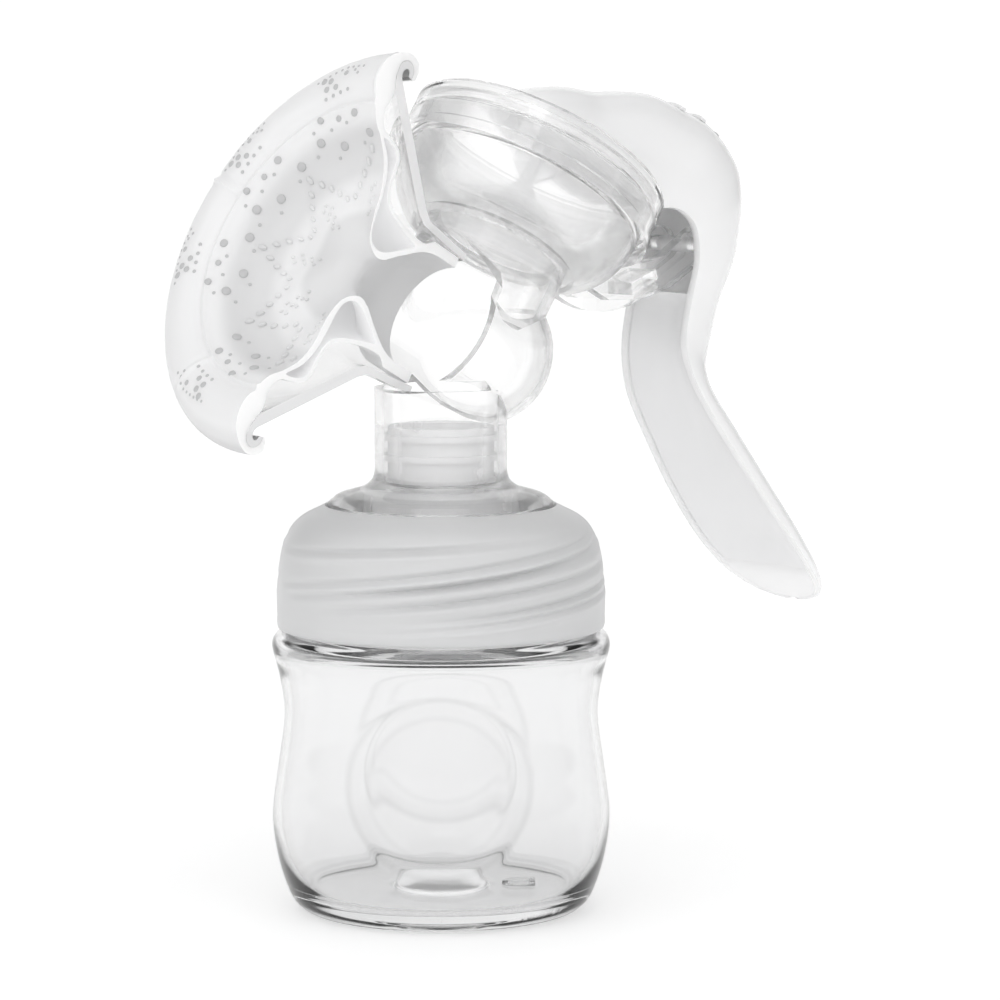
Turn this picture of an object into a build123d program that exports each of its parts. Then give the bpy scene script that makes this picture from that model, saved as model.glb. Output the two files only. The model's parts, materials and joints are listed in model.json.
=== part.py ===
from build123d import *
from math import cos, radians, sin
import os

# Manual breast pump on a 125 ml wide-neck feeding bottle. Millimetres, +Z up.
# The origin is the centre of the bottle's foot. The funnel points to -X and the squeeze handle to +X.
# Everything is symmetric about the plane y = 0.

# ---- driving dimensions -------------------------------------------------------------------------

# the near half (y < 0) of the funnel, its throat and its cushion is left open as a demonstration
# section; False builds them whole
cutaway = True

# bottle
foot_radius = 27.0
belly_radius = 33.6
belly_height = 19.0
waist_radius = 31.2
waist_height = 39.0
shoulder_radius = 33.4
shoulder_height = 52.6
bottle_wall = 1.6
floor_thickness = 3.6
finish_radius = 27.0
finish_bore = 25.0
bottle_rim = 74.2

# screw collar and the thread
thread_pitch = 4.0
thread_turns = 1.15
thread_width = 1.3
bottle_thread_start = 62.0
bottle_thread_crest = 28.3
collar_thread_crest = 27.5
collar_bore = 29.2
collar_foot = 56.4
collar_opening = 22.75
collar_ceiling = 76.9

# clear pump body
wall = 1.5
flange_radius = 26.6
flange_bottom = 75.0
flange_top = 76.6
dome_radius = 22.5
neck_radius = 13.15
neck_bore = 11.35
neck_top = 104.0
seat_top = 83.6

# tunnel: tilted down from the funnel into the bulb
tunnel_tilt = 29.0
tunnel_x = 5.5
tunnel_z = 113.1
barrel_radius = 15.3
barrel_bore = 13.8
barrel_start = -7.0
barrel_end = 4.0
bulb_depth = 16.0
throat_end = -19.5
throat_radius = 16.7

# diaphragm chamber: its floor's centre and its own tilt
chamber_tilt = 33.5
chamber_x = 14.1
chamber_z = 130.8
column_radius = 15.2
column_bore = 12.9
bowl_floor_radius = 17.3
bowl_radius = 25.2
bowl_wall = 1.5
bowl_top = 19.4
ring_bottom = 12.2
ring_top = 23.2
ring_radius = 27.0
ring_lip_radius = 27.6
diaphragm_rest = 8.4
diaphragm_thickness = 1.0

# stem, hung by its ball in the handle's yoke
stem_radius = 1.6
ball_radius = 2.8
ball_height = 26.9
channel_radius = 3.15
yoke_bottom = 23.6

# squeeze handle
pivot_x = 64.0
pivot_z = 130.0
pin_radius = 1.6
pin_clearance = 0.05
handle_wall = 1.8
pin_half_length = 8.9
lug_offset = 5.4
lug_thickness = 2.8
lug_eye_radius = 3.6

# ---- frames and helpers -------------------------------------------------------------------------


def leaning_plane(x, z, tilt):
    """Plane in y = 0 with its local y tipped towards +X by the tilt."""
    c, s = cos(radians(tilt)), sin(radians(tilt))
    return Plane(origin=(x, 0, z), x_dir=(c, 0, -s), z_dir=(0, -1, 0))


# local x runs down the tunnel away from the funnel
tunnel_plane = leaning_plane(tunnel_x, tunnel_z, tunnel_tilt)
tunnel_axis = Axis(tunnel_plane.origin, tunnel_plane.x_dir)
# local y runs up the chamber's axis from its floor
chamber_plane = leaning_plane(chamber_x, chamber_z, chamber_tilt)
chamber_axis = Axis(chamber_plane.origin, chamber_plane.y_dir)


def chamber(x, h, y=0.0):
    """Point at x across the chamber and h above its floor."""
    return chamber_plane.origin + chamber_plane.x_dir * x + chamber_plane.y_dir * h + Vector(0, y, 0)


def chamber_level(h):
    """Plane square to the chamber's axis; its local y is +Y."""
    return Plane(origin=chamber(0, h), x_dir=chamber_plane.x_dir, z_dir=chamber_plane.y_dir)


def save(part, name):
    part.label = name
    export_step(part, f"parts/{name}.step")


def thread_ridge(radius, crest, start):
    """Helical ridge on a wall of the given radius, out or in to its crest."""
    depth = 0.4 if crest > radius else -0.4
    with BuildPart() as ridge:
        with BuildLine():
            helix = Helix(thread_pitch, thread_pitch * thread_turns, radius, center=(0, 0, start))
        with BuildSketch(Plane(origin=helix @ 0, x_dir=(1, 0, 0), z_dir=helix % 0)):
            with BuildLine():
                Polyline(
                    (-depth, -thread_width),
                    (crest - radius, -thread_width / 2),
                    (crest - radius, thread_width / 2),
                    (-depth, thread_width),
                    close=True,
                )
            make_face()
        sweep(path=helix, is_frenet=True)
    return ridge.part


def bulb_profile(radius, depth):
    """Outline of half the barrel's section, from the throat's end to the bulb's tip."""
    with BuildLine() as outline:
        side = Line((barrel_start, radius), (barrel_end, radius))
        tip = EllipticalCenterArc((barrel_end, 0), depth, radius, start_angle=0, arc_size=90)
        Polyline(tip @ 0, (barrel_start, 0), side @ 0)
    return outline.edges()


def section_plane(inner, outer):
    """Cross-section plane of the handle: local x is +Y, local y points from the inner to the outer."""
    n = (outer - inner).normalized()
    return Plane(origin=inner, x_dir=(0, 1, 0), z_dir=(n.Z, 0, -n.X))


def crowned_outline(low, side, crown, width):
    """Closed outline from a flat inner edge to a crowned outer edge."""
    half = width / 2
    with BuildLine() as outline:
        Line((-half, low), (half, low))
        Line((half, low), (half, side))
        ThreePointArc((half, side), (0, side + crown), (-half, side))
        Line((-half, side), (-half, low))
    return outline.edges()


with BuildPart() as near_half:
    with BuildSketch(tunnel_plane):
        with Locations((barrel_start - 30, 0)):
            Rectangle(60, 100)
    extrude(amount=50)

os.makedirs("parts", exist_ok=True)

# ---- bottle -------------------------------------------------------------------------------------

bottle_thread = thread_ridge(finish_radius, bottle_thread_crest, bottle_thread_start)

with BuildPart() as bottle:
    with BuildSketch(Plane.XZ):
        with BuildLine():
            foot = Polyline((0, 1.2), (7.5, 1.2), (8.8, 0), (foot_radius, 0))
            side = Spline(
                foot @ 1,
                (30.4, 3.6),
                (32.6, 10.5),
                (belly_radius, belly_height),
                (32.5, 28.5),
                (waist_radius, waist_height),
                (32.1, 46.5),
                (shoulder_radius, shoulder_height),
            )
            top = Spline(side @ 1, (32.6, 55.0), (29.8, 55.9))
            Polyline(
                top @ 1,
                (finish_radius, 56.0),
                (finish_radius, bottle_rim),
                (0, bottle_rim),
                (0, 1.2),
            )
        make_face()
    revolve(axis=Axis.Z)
    # inside: the floor rises to a small boss over the moulding gate
    with BuildSketch(Plane.XZ):
        with BuildLine():
            floor_line = Polyline((0, 5.2), (5.0, 4.9), (9.2, floor_thickness), (25.4, floor_thickness))
            inner = Spline(
                floor_line @ 1,
                (28.6, 6.0),
                (30.9, 11.5),
                (belly_radius - bottle_wall, belly_height),
                (32.5 - bottle_wall, 28.5),
                (waist_radius - bottle_wall, waist_height),
                (32.1 - bottle_wall, 46.5),
                (shoulder_radius - bottle_wall, shoulder_height - 0.8),
            )
            Polyline(
                inner @ 1,
                (30.6, 53.8),
                (26.6, 54.3),
                (finish_bore, 56.0),
                (finish_bore, bottle_rim + 1),
                (0, bottle_rim + 1),
                (0, 5.2),
            )
        make_face()
    revolve(axis=Axis.Z, mode=Mode.SUBTRACT)
    add(bottle_thread)
save(bottle.part, "bottle")

# ---- screw collar -------------------------------------------------------------------------------

# half a pitch below the bottle's ridge, so the two ridges pass without touching
collar_thread = thread_ridge(collar_bore, collar_thread_crest, bottle_thread_start - thread_pitch / 2)

with BuildPart() as screw_collar:
    with BuildSketch(Plane.XZ):
        with BuildLine():
            outside = Spline(
                (32.3, collar_foot),
                (32.7, 63.6),
                (31.4, 73.7),
                (29.3, 77.1),
                (25.4, 79.5),
                (collar_opening, 80.8),
            )
            Polyline(
                outside @ 1,
                (collar_opening, collar_ceiling),
                (27.2, collar_ceiling),
                (collar_bore, 74.4),
                (collar_bore, 58.6),
                (30.6, collar_foot),
                outside @ 0,
            )
        make_face()
    revolve(axis=Axis.Z)
    add(collar_thread)
save(screw_collar.part, "screw_collar")

with BuildPart() as neck_seal:
    with BuildSketch(Plane.XY.offset(bottle_rim)):
        Circle(finish_radius)
        Circle(23.4, mode=Mode.SUBTRACT)
    extrude(amount=flange_bottom - bottle_rim)
save(neck_seal.part, "neck_seal")

# ---- clear pump body ----------------------------------------------------------------------------

with BuildPart() as pump_body:
    # flange under the collar, dome and neck
    with BuildSketch(Plane.XZ):
        with BuildLine():
            rim = Polyline(
                (neck_bore, neck_top),
                (neck_radius, neck_top),
                (neck_radius, 88.0),
            )
            dome = Spline(
                rim @ 1,
                (14.0, 85.3),
                (19.6, 83.0),
                (dome_radius, 81.0),
                tangents=((0, -1), (0.6, -0.6)),
            )
            Polyline(
                dome @ 1,
                (dome_radius, flange_top),
                (flange_radius, flange_top),
                (flange_radius, flange_bottom),
                (20.9, flange_bottom),
                (20.9, 80.2),
                (18.9, 81.8),
                (13.8, 84.0),
                (neck_bore, 85.2),
                (neck_bore, neck_top),
            )
        make_face()
    revolve(axis=Axis.Z)
    # barrel along the tunnel with the bulb that closes it, and the column up to the chamber
    with BuildSketch(tunnel_plane):
        make_face(bulb_profile(barrel_radius, bulb_depth))
    revolve(axis=tunnel_axis)
    with BuildSketch(chamber_level(0)):
        Circle(column_radius)
    extrude(amount=-17)
    # hollow them; the neck's bore opens into the barrel from below
    with BuildSketch(tunnel_plane):
        make_face(bulb_profile(barrel_bore, bulb_depth - wall))
    revolve(axis=tunnel_axis, mode=Mode.SUBTRACT)
    with BuildSketch(chamber_level(0)):
        Circle(column_bore)
    extrude(amount=-17, mode=Mode.SUBTRACT)
    with BuildSketch(Plane.XY.offset(86)):
        Circle(neck_bore)
    extrude(amount=20, mode=Mode.SUBTRACT)
    # the neck and the column end where the throat, a piece of its own, passes
    with BuildSketch(tunnel_plane):
        with Locations((barrel_start, 0)):
            Rectangle(30, throat_radius, align=(Align.MAX, Align.MIN))
    revolve(axis=tunnel_axis, mode=Mode.SUBTRACT)
save(pump_body.part, "pump_body")

with BuildPart() as whole_funnel:
    with BuildSketch(tunnel_plane):
        with BuildLine():
            throat = Polyline(
                (barrel_start, barrel_bore),
                (barrel_start, barrel_radius),
                (throat_end + 1.0, throat_radius),
                (throat_end - 1.1, 18.3),
                (-37.3, 36.5),
            )
            # the lip is rolled back over itself
            inner_roll = Spline(
                throat @ 1,
                (-38.5, 37.9),
                (-38.7, 39.2),
                (-38.1, 40.0),
                (-37.4, 39.8),
                (-37.0, 38.8),
            )
            outer_roll = Spline(
                (-36.1, 38.6),
                (-36.3, 40.2),
                (-37.4, 41.4),
                (-38.9, 41.4),
                (-39.9, 40.2),
                (-39.9, 37.7),
                (-38.9, 34.9),
            )
            Line(inner_roll @ 1, outer_roll @ 0)
            Polyline(outer_roll @ 1, (throat_end - 2.9, 17.2), (throat_end - 0.2, 15.3), throat @ 0)
        make_face()
    revolve(axis=tunnel_axis)

with BuildPart() as funnel_shell:
    add(whole_funnel.part)
    if cutaway:
        add(near_half.part, mode=Mode.SUBTRACT)
save(funnel_shell.part, "funnel_shell")

# ---- valve --------------------------------------------------------------------------------------

with BuildPart() as valve_seat:
    with BuildSketch(Plane.XZ):
        with BuildLine():
            Polyline(
                (9.0, seat_top),
                (13.7, seat_top),
                (15.5, 82.2),
                (15.5, 74.6),
                (13.8, 74.6),
                (13.8, 80.6),
                (9.0, 80.6),
                close=True,
            )
        make_face()
    revolve(axis=Axis.Z)
save(valve_seat.part, "valve_seat")

with BuildPart() as valve_cup:
    with BuildSketch(Plane.XZ):
        with BuildLine():
            bowl = Polyline((2.4, 84.9), (9.2, 84.9), (9.2, 96.4), (10.5, 96.4), (10.5, 95.0))
            Polyline(
                bowl @ 1,
                (11.3, 95.0),
                (11.3, 93.8),
                (10.5, 93.8),
                (10.5, 91.0),
                (11.3, 91.0),
                (11.3, 89.8),
                (10.5, 89.8),
                (10.5, 86.0),
                (9.4, seat_top),
                (2.4, seat_top),
                bowl @ 0,
            )
        make_face()
    revolve(axis=Axis.Z)
save(valve_cup.part, "valve_cup")

with BuildPart() as valve_flap:
    # duckbill: a round root that flattens to two lips
    with BuildSketch(Plane.XY.offset(80.6)):
        SlotOverall(12.0, 11.8)
    with BuildSketch(Plane.XY.offset(71.0)):
        SlotOverall(12.0, 2.4)
    loft()
    with BuildSketch(Plane.XY.offset(80.6)):
        SlotOverall(9.6, 9.4)
    with BuildSketch(Plane.XY.offset(70.9)):
        SlotOverall(9.6, 0.5)
    loft(mode=Mode.SUBTRACT)
    with BuildSketch(Plane.XY.offset(80.6)):
        Circle(8.9)
        Circle(4.6, mode=Mode.SUBTRACT)
    extrude(amount=seat_top - 80.6)
save(valve_flap.part, "valve_flap")

# ---- cushion ------------------------------------------------------------------------------------

with BuildPart() as massage_cushion:
    with BuildSketch(tunnel_plane):
        with BuildLine():
            face = Spline(
                (-34.9, 40.6),
                (-35.6, 41.9),
                (-37.2, 42.9),
                (-39.3, 42.9),
                (-41.5, 41.5),
                (-43.2, 39.3),
                (-43.8, 36.6),
                (-43.3, 33.8),
                (-42.2, 31.0),
                (-40.4, 27.6),
                (-37.6, 25.0),
                (-34.9, 21.5),
                (-33.2, 17.0),
                (-32.4, 11.0),
                (-31.0, 6.8),
                (-28.4, 4.6),
                (-25.8, 4.6),
                (-22.0, 7.4),
                (-17.6, 10.4),
                (-14.0, 11.5),
                (-8.4, 11.6),
            )
            # the back springs off the funnel's throat, stands clear of its flare and grips its rolled lip
            Polyline(
                face @ 1,
                (-8.4, barrel_bore),
                (-15.8, barrel_bore),
                (-16.4, 12.9),
                (-18.0, 12.2),
                (-21.5, 12.4),
                (-25.2, 13.3),
                (-28.4, 14.6),
                (-30.0, 16.2),
                (-30.7, 18.2),
                (-30.9, 21.0),
                (-31.3, 23.6),
                (-32.6, 25.3),
                (-35.2, 26.3),
                (-37.4, 26.9),
                (-38.7, 28.4),
                (-39.3, 30.4),
                (-38.9, 32.6),
                (-38.0, 34.2),
                (-36.8, 36.6),
                (-35.8, 38.4),
                face @ 0,
            )
        make_face()
    revolve(axis=tunnel_axis)
    add(whole_funnel.part, mode=Mode.SUBTRACT)
    if cutaway:
        add(near_half.part, mode=Mode.SUBTRACT)
save(massage_cushion.part, "massage_cushion")

# ---- diaphragm chamber --------------------------------------------------------------------------

with BuildPart() as chamber_bowl:
    with BuildSketch(chamber_plane):
        with BuildLine():
            outer = Spline((bowl_floor_radius, 0), (20.6, 1.9), (23.9, 6.6), (bowl_radius, ring_bottom))
            rim = Polyline(
                outer @ 1,
                (bowl_radius, bowl_top),
                (bowl_radius - bowl_wall, bowl_top),
                (bowl_radius - bowl_wall, ring_bottom),
            )
            inner = Spline(rim @ 1, (22.4, 7.2), (19.4, 3.2), (16.4, 1.5))
            Polyline(inner @ 1, (column_bore, 1.5), (column_bore, 0), outer @ 0)
        make_face()
    revolve(axis=chamber_axis)
save(chamber_bowl.part, "chamber_bowl")

with BuildPart() as chamber_ring:
    with BuildSketch(chamber_plane):
        with BuildLine():
            Polyline(
                (bowl_radius + 0.1, ring_bottom),
                (ring_lip_radius, ring_bottom),
                (ring_lip_radius, 14.2),
                (ring_radius, 14.8),
                (ring_radius, 18.2),
                (ring_radius - 0.7, 18.2),
                (ring_radius - 0.7, 19.0),
                (ring_radius, 19.0),
                (ring_radius, ring_top - 0.8),
                (ring_radius - 0.8, ring_top),
                (23.8, ring_top),
                (23.8, bowl_top + 2.0),
                (bowl_radius + 0.1, bowl_top + 2.0),
                close=True,
            )
        make_face()
    revolve(axis=chamber_axis)
save(chamber_ring.part, "chamber_ring")

with BuildPart() as diaphragm:
    # clamped rim, steep wall, a rolling fold and a flat centre that carries the stem
    with BuildSketch(chamber_plane):
        with BuildLine():
            t = diaphragm_thickness
            Polyline(
                (0, diaphragm_rest),
                (7.4, diaphragm_rest),
                (12.6, 5.6),
                (15.2, 3.8),
                (17.6, 3.3),
                (20.0, 4.8),
                (21.9, 8.0),
                (23.0, ring_bottom),
                (23.1, bowl_top),
                (bowl_radius, bowl_top),
                (bowl_radius, bowl_top + 2.0),
                (22.0, bowl_top + 2.0),
                (22.0, ring_bottom + 0.2),
                (21.0, 8.4),
                (19.3, 5.6),
                (17.4, 4.4),
                (15.6, 4.8),
                (13.2, 6.4),
                (7.7, diaphragm_rest + t),
                (0, diaphragm_rest + t),
                close=True,
            )
        make_face()
    revolve(axis=chamber_axis)
save(diaphragm.part, "diaphragm")

# ---- stem ---------------------------------------------------------------------------------------

foot_bottom = diaphragm_rest + diaphragm_thickness
rod_bottom = 14.0

with BuildPart() as stem_foot:
    with BuildSketch(chamber_plane):
        with BuildLine():
            Polyline(
                (0, foot_bottom),
                (7.0, foot_bottom),
                (7.0, foot_bottom + 0.9),
                (4.0, 11.6),
                (2.2, rod_bottom),
                (0, rod_bottom),
                close=True,
            )
        make_face()
    revolve(axis=chamber_axis)
save(stem_foot.part, "stem_foot")

with BuildPart() as stem:
    with BuildSketch(chamber_level(rod_bottom)):
        Circle(stem_radius)
    extrude(amount=ball_height - rod_bottom)
    # crossed fins that keep the rod stiff
    for across in (chamber_plane.x_dir + Vector(0, 1, 0), chamber_plane.x_dir - Vector(0, 1, 0)):
        fin_normal = across.cross(chamber_plane.y_dir)
        with BuildSketch(Plane(origin=chamber(0, 0), x_dir=across, z_dir=fin_normal)):
            with BuildLine():
                Polyline(
                    (-1.2, 15.2),
                    (1.2, 15.2),
                    (4.6, 19.0),
                    (4.6, 21.2),
                    (-4.6, 21.2),
                    (-4.6, 19.0),
                    close=True,
                )
            make_face()
        extrude(amount=0.7, both=True)
    with BuildSketch(chamber_plane):
        with BuildLine():
            half = ThreePointArc(
                (0, ball_height - ball_radius),
                (ball_radius, ball_height),
                (0, ball_height + ball_radius),
            )
            Line(half @ 1, half @ 0)
        make_face()
    revolve(axis=chamber_axis)
save(stem.part, "stem")

# ---- squeeze handle -----------------------------------------------------------------------------

# sections from the head's nose to the grip's tip: inner point, outer point, crown, width
head_sections = [
    ((-13.0, 24.2), (-13.0, 26.4), 1.0, 8.0),
    ((-9.5, 23.6), (-9.5, 26.8), 4.6, 15.0),
    ((-3.0, 23.6), (-3.0, 28.2), 7.8, 18.4),
    ((4.0, 23.6), (4.0, 29.6), 9.8, 19.2),
    ((11.0, 23.6), (11.0, 33.0), 10.9, 19.6),
    ((18.0, 23.6), (18.0, 38.2), 9.4, 19.6),
    ((24.5, 25.0), (25.5, 42.2), 7.4, 19.6),
    ((30.0, 28.2), (33.5, 45.0), 6.0, 19.6),
    ((34.5, 28.8), (41.5, 43.2), 6.0, 19.6),
    ((37.8, 27.5), (45.6, 39.3), 6.0, 19.6),
    ((40.3, 24.8), (48.6, 34.0), 5.5, 19.6),
    ((42.2, 21.4), (50.8, 27.6), 5.0, 19.6),
]
grip_sections = [
    ((59.2, 117.8), (67.9, 118.0), 4.5, 19.3),
    ((57.9, 110.2), (64.8, 108.0), 4.0, 19.5),
    ((58.9, 104.2), (63.6, 101.5), 3.8, 21.3),
    ((62.4, 97.0), (65.7, 98.9), 3.6, 24.0),
    ((68.6, 87.6), (71.5, 89.8), 3.0, 26.8),
    ((76.1, 77.5), (78.8, 79.7), 2.8, 29.6),
    ((84.3, 67.5), (86.7, 69.6), 2.5, 30.8),
    ((91.3, 60.0), (93.0, 61.7), 2.0, 28.5),
    ((96.0, 55.8), (97.1, 57.0), 1.4, 22.0),
    ((98.6, 53.6), (99.1, 54.2), 0.6, 10.0),
]
handle_sections = [(chamber(*a), chamber(*b), crown, width) for a, b, crown, width in head_sections]
handle_sections += [
    (Vector(inner[0], 0, inner[1]), Vector(outer[0], 0, outer[1]), crown, width)
    for inner, outer, crown, width in grip_sections
]

# the space inside the shell, open on the inner side
with BuildPart() as handle_cavity:
    for inner, outer, crown, width in handle_sections[1:-2]:
        side = (outer - inner).length - handle_wall
        with BuildSketch(section_plane(inner, outer)):
            make_face(crowned_outline(-1.0, side, crown, width - 2 * handle_wall))
    loft(ruled=True)

with BuildPart() as handle_shell:
    for inner, outer, crown, width in handle_sections:
        with BuildSketch(section_plane(inner, outer)):
            make_face(crowned_outline(0, (outer - inner).length, crown, width))
    loft()
    add(handle_cavity.part, mode=Mode.SUBTRACT)
    # bosses for the pivot pin, blind on the outside
    for side in (1, -1):
        with BuildSketch(Plane(origin=(pivot_x, side * 7.1, pivot_z), x_dir=(1, 0, 0), z_dir=(0, side, 0))):
            Circle(2.6)
        extrude(amount=1.4)
    with BuildSketch(Plane(origin=(pivot_x, 0, pivot_z), x_dir=(1, 0, 0), z_dir=(0, 1, 0))):
        Circle(pin_radius)
    extrude(amount=pin_half_length, both=True, mode=Mode.SUBTRACT)
save(handle_shell.part, "handle_shell")

with BuildPart() as pivot_pin:
    with BuildSketch(Plane(origin=(pivot_x, 0, pivot_z), x_dir=(1, 0, 0), z_dir=(0, 1, 0))):
        Circle(pin_radius)
    extrude(amount=pin_half_length, both=True)
save(pivot_pin.part, "pivot_pin")

with BuildPart() as stem_yoke:
    # block across the head's inside with a channel the ball slides along
    with BuildSketch(chamber_level(yoke_bottom)):
        with Locations((-1.35, 0)):
            Rectangle(10.3, 30)
    extrude(amount=20)
    add(handle_cavity.part, mode=Mode.INTERSECT)
    with BuildSketch(Plane(origin=chamber(0, ball_height), x_dir=(0, 1, 0), z_dir=chamber_plane.x_dir)):
        Circle(channel_radius)
        with Locations((0, -4)):
            Rectangle(4.4, 8)
    extrude(amount=20, both=True, mode=Mode.SUBTRACT)
save(stem_yoke.part, "stem_yoke")

with BuildPart() as handle_cover:
    # concave panel that closes the grip's inner side, from below the pivot to near the tip
    for inner, outer, crown, width in handle_sections[12:-2]:
        half = width / 2 - handle_wall - 0.1
        room = (outer - inner).length + crown - handle_wall
        dip = min(2.6, room - 1.3)
        with BuildSketch(section_plane(inner, outer)):
            with BuildLine():
                near_face = ThreePointArc((half, 0.3), (0, dip), (-half, 0.3))
                edge = Line(near_face @ 1, (-half, 0.6))
                far_face = ThreePointArc(edge @ 1, (0, dip + 1.0), (half, 0.6))
                Line(far_face @ 1, near_face @ 0)
            make_face()
    loft(ruled=True)
save(handle_cover.part, "handle_cover")

with BuildPart() as grip_ribs:
    for x, h, lean in ((25.3, 49.5, -8), (31.5, 50.7, 0), (36.9, 50.1, 12)):
        up = chamber_plane.y_dir.rotate(Axis.Y, lean)
        middle = chamber(x, h) - up * 10
        with BuildSketch(Plane(origin=middle, x_dir=(0, 1, 0), z_dir=(up.Z, 0, -up.X))):
            Circle(10.7)
            with Locations((0, 9)):
                Rectangle(7.6, 10, mode=Mode.INTERSECT)
        extrude(amount=0.8, both=True)
    add(handle_shell.part, mode=Mode.SUBTRACT)
    add(handle_cavity.part, mode=Mode.SUBTRACT)
save(grip_ribs.part, "grip_ribs")

# ---- hinge bracket and its web ------------------------------------------------------------------

# the chamber's outside, which the bracket and the web end on
with BuildPart() as chamber_envelope:
    with BuildSketch(chamber_plane):
        with BuildLine():
            outer = Spline((bowl_floor_radius, 0), (20.6, 1.9), (23.9, 6.6), (bowl_radius, ring_bottom))
            Polyline(outer @ 1, (bowl_radius, bowl_top), (0, bowl_top), (0, 0), outer @ 0)
        make_face()
    revolve(axis=chamber_axis)
    add(chamber_ring.part)

with BuildPart() as hinge_bracket:
    # two lugs that carry the pivot, joined by a cross plate
    for side in (1, -1):
        lug_face = chamber(0, 0, side * (lug_offset - lug_thickness / 2))
        lug_plane = Plane(origin=lug_face, x_dir=chamber_plane.x_dir, z_dir=(0, -1, 0))
        with BuildSketch(lug_plane):
            with BuildLine():
                Polyline(
                    (21.0, 4.0),
                    (27.0, 4.6),
                    (34.0, 9.0),
                    (40.0, 15.4),
                    (45.2, 25.2),
                    (42.6, 30.2),
                    (38.9, 28.6),
                    (35.0, 20.0),
                    (30.6, 15.4),
                    (21.0, 15.4),
                    close=True,
                )
            make_face()
            with Locations((42.05, 26.87)):
                Circle(lug_eye_radius)
        extrude(amount=-side * lug_thickness)
    with BuildSketch(chamber_plane):
        with BuildLine():
            Polyline((31.6, 11.4), (33.2, 9.4), (37.6, 15.8), (36.0, 17.2), close=True)
        make_face()
    extrude(amount=lug_offset, both=True)
    with BuildSketch(Plane(origin=(pivot_x, 0, pivot_z), x_dir=(1, 0, 0), z_dir=(0, 1, 0))):
        Circle(pin_radius + pin_clearance)
    extrude(amount=pin_half_length, both=True, mode=Mode.SUBTRACT)
    add(chamber_envelope.part, mode=Mode.SUBTRACT)
save(hinge_bracket.part, "hinge_bracket")

with BuildPart() as support_web:
    # thin crescent under the bracket, between the lugs
    with BuildSketch(chamber_plane):
        with BuildLine():
            below = ThreePointArc((19.0, 0.6), (33.2, 5.4), (41.0, 16.2))
            Polyline(below @ 1, (37.6, 15.8), (33.2, 9.4), (31.6, 11.4), (21.0, 11.4), below @ 0)
        make_face()
    extrude(amount=1.2, both=True)
    add(chamber_envelope.part, mode=Mode.SUBTRACT)
save(support_web.part, "support_web")
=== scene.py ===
"""Visible model of a hand breast pump on its feeding bottle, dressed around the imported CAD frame.

Outlines are lists of (u, r) points in millimetres: u along a turning axis, r out from it.
"""

import json
import math

import bmesh
import bpy
from mathutils import Matrix, Vector
from mathutils.geometry import tessellate_polygon


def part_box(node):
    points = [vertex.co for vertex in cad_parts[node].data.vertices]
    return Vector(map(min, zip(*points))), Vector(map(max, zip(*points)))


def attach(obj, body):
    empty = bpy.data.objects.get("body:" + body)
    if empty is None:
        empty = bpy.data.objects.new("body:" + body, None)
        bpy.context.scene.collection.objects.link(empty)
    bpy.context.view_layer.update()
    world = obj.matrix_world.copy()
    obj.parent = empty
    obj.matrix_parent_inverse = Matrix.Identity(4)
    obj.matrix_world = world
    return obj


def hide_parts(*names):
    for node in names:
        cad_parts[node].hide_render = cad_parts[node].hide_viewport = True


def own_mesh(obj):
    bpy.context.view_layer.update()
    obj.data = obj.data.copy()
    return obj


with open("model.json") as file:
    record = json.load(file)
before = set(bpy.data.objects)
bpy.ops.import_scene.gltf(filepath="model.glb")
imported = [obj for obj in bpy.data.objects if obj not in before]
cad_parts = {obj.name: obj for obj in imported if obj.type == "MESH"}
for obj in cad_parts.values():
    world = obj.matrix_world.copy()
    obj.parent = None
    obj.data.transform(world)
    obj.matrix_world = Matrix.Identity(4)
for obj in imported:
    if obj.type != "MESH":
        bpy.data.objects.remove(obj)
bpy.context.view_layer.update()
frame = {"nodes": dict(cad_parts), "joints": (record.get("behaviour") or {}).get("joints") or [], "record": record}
record = frame["record"]
joints = {j["name"]: j for j in frame["joints"]}
base = Vector(next(m for m in record["mounts"] if m["name"] == "base")["pos_m"])
MM = 0.001
FRONT_DEGREES = -41.5  # angle about Z from +X to the right-hand side of the front view

# ---- frames -------------------------------------------------------------------------------------


class Axes:
    """A turned frame: u along the axis, v and w across it."""

    def __init__(self, origin, u, v):
        self.o = Vector(origin)
        self.u = Vector(u).normalized()
        self.v = (Vector(v) - Vector(v).dot(self.u) * self.u).normalized()
        self.w = self.u.cross(self.v)

    def at(self, u, r, phi):
        """Point at u along the axis and r from it, phi radians from v towards w, in millimetres."""
        return self.o + MM * (u * self.u + r * (math.cos(phi) * self.v + math.sin(phi) * self.w))


def level_direction(degrees):
    """Level unit vector at an angle about Z from +X."""
    return Vector((math.cos(math.radians(degrees)), math.sin(math.radians(degrees)), 0))


def centre(node):
    """Middle of a CAD node's box at rest."""
    lo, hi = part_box(node)
    return (lo + hi) / 2


upright = Axes(base, (0, 0, 1), (1, 0, 0))
chamber_dir = Vector(joints["stem_lift"]["axis"])


# ---- mesh helpers -------------------------------------------------------------------------------


def bell(x, width):
    """Smooth bump of height 1 at 0."""
    return math.exp(-((x / width) ** 2))


def spline_value(a, b, c, d, t):
    """Catmull-Rom value at t on the way from b to c, with a before them and d after."""
    slope = (c - a) * t
    bend = (2 * a - 5 * b + 4 * c - d) * t * t
    twist = (3 * b - a - 3 * c + d) * t**3
    return 0.5 * (2 * b + slope + bend + twist)


def curve(points, steps, closed=False):
    """Catmull-Rom curve through the points, in so many steps from one to the next."""
    out = []
    n = len(points)
    for i in range(n if closed else n - 1):
        if closed:
            near = [points[(i + k - 1) % n] for k in range(4)]
        else:
            near = [points[max(0, min(n - 1, i + k - 1))] for k in range(4)]
        for s in range(steps):
            out.append(tuple(spline_value(*values, s / steps) for values in zip(*near)))
    if not closed:
        out.append(tuple(points[-1]))
    return out


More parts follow.
